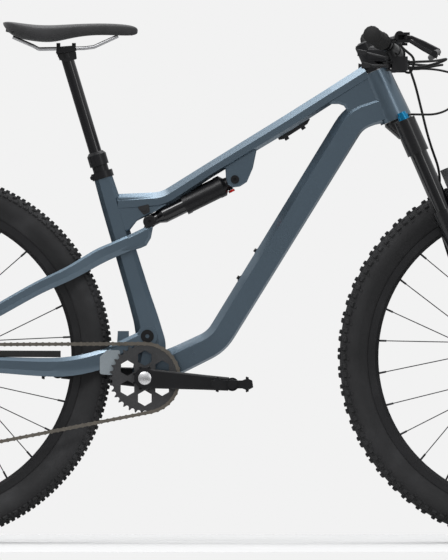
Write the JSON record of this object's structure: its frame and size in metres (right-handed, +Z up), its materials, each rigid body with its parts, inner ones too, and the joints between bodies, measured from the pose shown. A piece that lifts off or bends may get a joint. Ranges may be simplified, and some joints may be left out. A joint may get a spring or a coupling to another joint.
{
  "type": "mountain bike",
  "caption": "Full-suspension trail bicycle with large knobbly tyres, telescopic fork, single-ring chain drive, disc brakes and a height-adjustable saddle.",
  "frame": {"origin": "ground level, midway between the two wheel axles, on the centre plane", "axes": "+X forward, +Y to the rider's left, +Z up; the drive side is at -Y"},
  "size_m": [1.938, 0.7662, 1.04],
  "materials": {
    "frame_paint": "satin metallic blue grey",
    "black_metal": "satin black",
    "gloss_black": "gloss black, hard anodised",
    "black_plastic": "matt",
    "rubber": "matt",
    "tyre": "matt",
    "saddle_skin": "matt synthetic leather",
    "steel": "brushed",
    "spoke_black": "dark",
    "chain_metal": "dark",
    "grey_plate": "satin",
    "blue_anodised": "anodised",
    "red_anodised": "anodised"
  },
  "bodies": {
    "frame": {"front_frame": "frame_paint", "frame_bearings": "steel", "frame_pivot_bolts": "black_metal", "seat_clamp": "black_metal", "dropper_outer_tube": "black_metal", "bottle_inserts": "black_plastic", "pivot_cover": "black_plastic"},
    "seatpost": {"dropper_stanchion": "gloss_black", "saddle_clamp": "black_metal", "saddle_rails": "steel", "saddle_shell": "black_plastic", "saddle_cover": "saddle_skin"},
    "steering": {"fork_crown": "black_metal", "fork_stanchions": "gloss_black", "stem": "black_metal", "handlebar": "black_metal", "grips": "rubber", "brake_masters": "black_metal", "thumb_lever_bodies": "black_plastic", "control_cables": "rubber"},
    "knob": {"fork_knob": "blue_anodised"},
    "lever_right": {"brake_lever_right": "black_metal"},
    "lever_left": {"brake_lever_left": "black_metal"},
    "upshift": {"shift_lever_up": "black_plastic"},
    "downshift": {"shift_lever_down": "black_plastic"},
    "remote": {"remote_lever": "black_plastic"},
    "fork_lower": {"fork_lowers": "black_metal", "front_axle": "black_metal", "front_caliper": "black_metal", "front_brake_hose": "rubber"},
    "front_wheel": {"front_tyre": "tyre", "front_rim": "black_metal", "front_spokes": "spoke_black", "front_hub": "black_metal", "front_rotor": "steel"},
    "swingarm": {"rear_triangle": "frame_paint", "chainstay_guard": "grey_plate", "chainstay_protector": "rubber", "rear_axle": "black_metal", "rear_caliper": "black_metal", "derailleur_body": "black_metal", "chain": "chain_metal"},
    "rear_wheel": {"rear_tyre": "tyre", "rear_rim": "black_metal", "rear_spokes": "spoke_black", "rear_hub": "black_metal", "rear_rotor": "steel"},
    "freewheel": {"cassette": "chain_metal"},
    "crank": {"crank_drive_arm": "black_metal", "crank_left_arm": "black_metal", "chainring": "chain_metal", "pedal_spindles": "steel"},
    "right_pedal": {"pedal_right": "black_metal"},
    "left_pedal": {"pedal_left": "black_metal"},
    "cage": {"derailleur_cage": "black_metal"},
    "upper_pulley": {"guide_pulley": "black_plastic"},
    "lower_pulley": {"tension_pulley": "black_plastic"},
    "shock_body": {"shock_can": "black_metal"},
    "lockout": {"shock_lever": "red_anodised"},
    "shock_rod": {"shock_shaft": "gloss_black"}
  },
  "joints": [
    {"name": "steer", "type": "hinge", "parent": "frame", "child": "steering", "pos_m": [0.32139, 0, 0.89552], "axis": [-0.3987, 0, 0.9171], "range_deg": [-55, 55]},
    {"name": "fork_slide", "type": "slide", "parent": "steering", "child": "fork_lower", "axis": [-0.3987, 0, 0.9171], "range_m": [0, 0.12], "stiffness_N_per_m": 3500, "springref_m": -0.02, "deforming": ["front_brake_hose"]},
    {"name": "front_wheel_spin", "type": "hinge", "parent": "fork_lower", "child": "front_wheel", "pos_m": [0.597, 0, 0.372], "axis": [0, 1, 0], "continuous": true},
    {"name": "knob_turn", "type": "hinge", "parent": "steering", "child": "knob", "pos_m": [0.35496, -0.065, 0.85342], "axis": [-0.3987, 0, 0.9171], "range_deg": [0, 90]},
    {"name": "brake_right", "type": "hinge", "parent": "steering", "child": "lever_right", "pos_m": [0.3594, -0.236, 1.00804], "axis": [0, 0, -1], "range_deg": [0, 18], "stiffness_Nm_per_rad": 1, "springref_deg": -5.73},
    {"name": "brake_left", "type": "hinge", "parent": "steering", "child": "lever_left", "pos_m": [0.3594, 0.236, 1.00804], "axis": [0, 0, 1], "range_deg": [0, 18], "stiffness_Nm_per_rad": 1, "springref_deg": -5.73},
    {"name": "shift_up", "type": "hinge", "parent": "steering", "child": "upshift", "pos_m": [0.326, -0.156, 0.9686], "axis": [0, 0, -1], "range_deg": [0, 20], "stiffness_Nm_per_rad": 0.5, "springref_deg": -5.73},
    {"name": "shift_down", "type": "hinge", "parent": "steering", "child": "downshift", "pos_m": [0.326, -0.156, 0.9522], "axis": [0, 0, -1], "range_deg": [0, 25], "stiffness_Nm_per_rad": 0.5, "springref_deg": -5.73},
    {"name": "remote_press", "type": "hinge", "parent": "steering", "child": "remote", "pos_m": [0.326, 0.156, 0.9522], "axis": [0, 0, 1], "range_deg": [0, 20], "stiffness_Nm_per_rad": 0.5, "springref_deg": -5.73},
    {"name": "dropper_slide", "type": "slide", "parent": "frame", "child": "seatpost", "axis": [-0.289, 0, 0.9573], "range_m": [-0.17, 0]},
    {"name": "swingarm_pivot", "type": "hinge", "parent": "frame", "child": "swingarm", "pos_m": [-0.155, 0, 0.4138], "axis": [0, 1, 0], "range_deg": [0, 14], "stiffness_Nm_per_rad": 1500, "springref_deg": -1.72, "deforming": ["chain"]},
    {"name": "shock_pivot", "type": "hinge", "parent": "frame", "child": "shock_body", "pos_m": [0.02, 0, 0.727], "axis": [0, -1, 0], "range_deg": [0, 11.6]},
    {"name": "shock_slide", "type": "slide", "parent": "shock_body", "child": "shock_rod", "axis": [0.897, 0, 0.4419], "range_m": [0, 0.0447]},
    {"name": "lockout_turn", "type": "hinge", "parent": "shock_body", "child": "lockout", "pos_m": [0.01343, 0, 0.70414], "axis": [-0.4419, 0, 0.897], "range_deg": [0, 60]},
    {"name": "rear_wheel_spin", "type": "hinge", "parent": "swingarm", "child": "rear_wheel", "pos_m": [-0.597, 0, 0.372], "axis": [0, 1, 0], "continuous": true},
    {"name": "crank_spin", "type": "hinge", "parent": "frame", "child": "crank", "pos_m": [-0.16, 0, 0.33], "axis": [0, 1, 0], "continuous": true},
    {"name": "cassette_spin", "type": "hinge", "parent": "swingarm", "child": "freewheel", "pos_m": [-0.597, 0, 0.372], "axis": [0, 1, 0], "continuous": true},
    {"name": "pedal_right_spin", "type": "hinge", "parent": "crank", "child": "right_pedal", "pos_m": [0.01457, -0.11, 0.31779], "axis": [0, 1, 0], "continuous": true},
    {"name": "pedal_left_spin", "type": "hinge", "parent": "crank", "child": "left_pedal", "pos_m": [-0.33457, 0.11, 0.34221], "axis": [0, 1, 0], "continuous": true},
    {"name": "cage_swing", "type": "hinge", "parent": "swingarm", "child": "cage", "pos_m": [-0.59, -0.062, 0.265], "axis": [0, 1, 0], "range_deg": [-40, 12], "stiffness_Nm_per_rad": 2, "springref_deg": 8.59},
    {"name": "guide_pulley_spin", "type": "hinge", "parent": "cage", "child": "upper_pulley", "pos_m": [-0.59, -0.062, 0.265], "axis": [0, 1, 0], "continuous": true},
    {"name": "tension_pulley_spin", "type": "hinge", "parent": "cage", "child": "lower_pulley", "pos_m": [-0.6408, -0.062, 0.19071], "axis": [0, 1, 0], "continuous": true}
  ],
  "couplings": [
    {"joint": "shock_pivot", "follows": "swingarm_pivot", "ratio": 0.82},
    {"joint": "shock_slide", "follows": "swingarm_pivot", "m_per_rad": 0.181},
    {"joint": "cassette_spin", "follows": "crank_spin", "ratio": 2.8333},
    {"joint": "guide_pulley_spin", "follows": "crank_spin", "ratio": -2.8333},
    {"joint": "tension_pulley_spin", "follows": "crank_spin", "ratio": 2.8333}
  ]
}
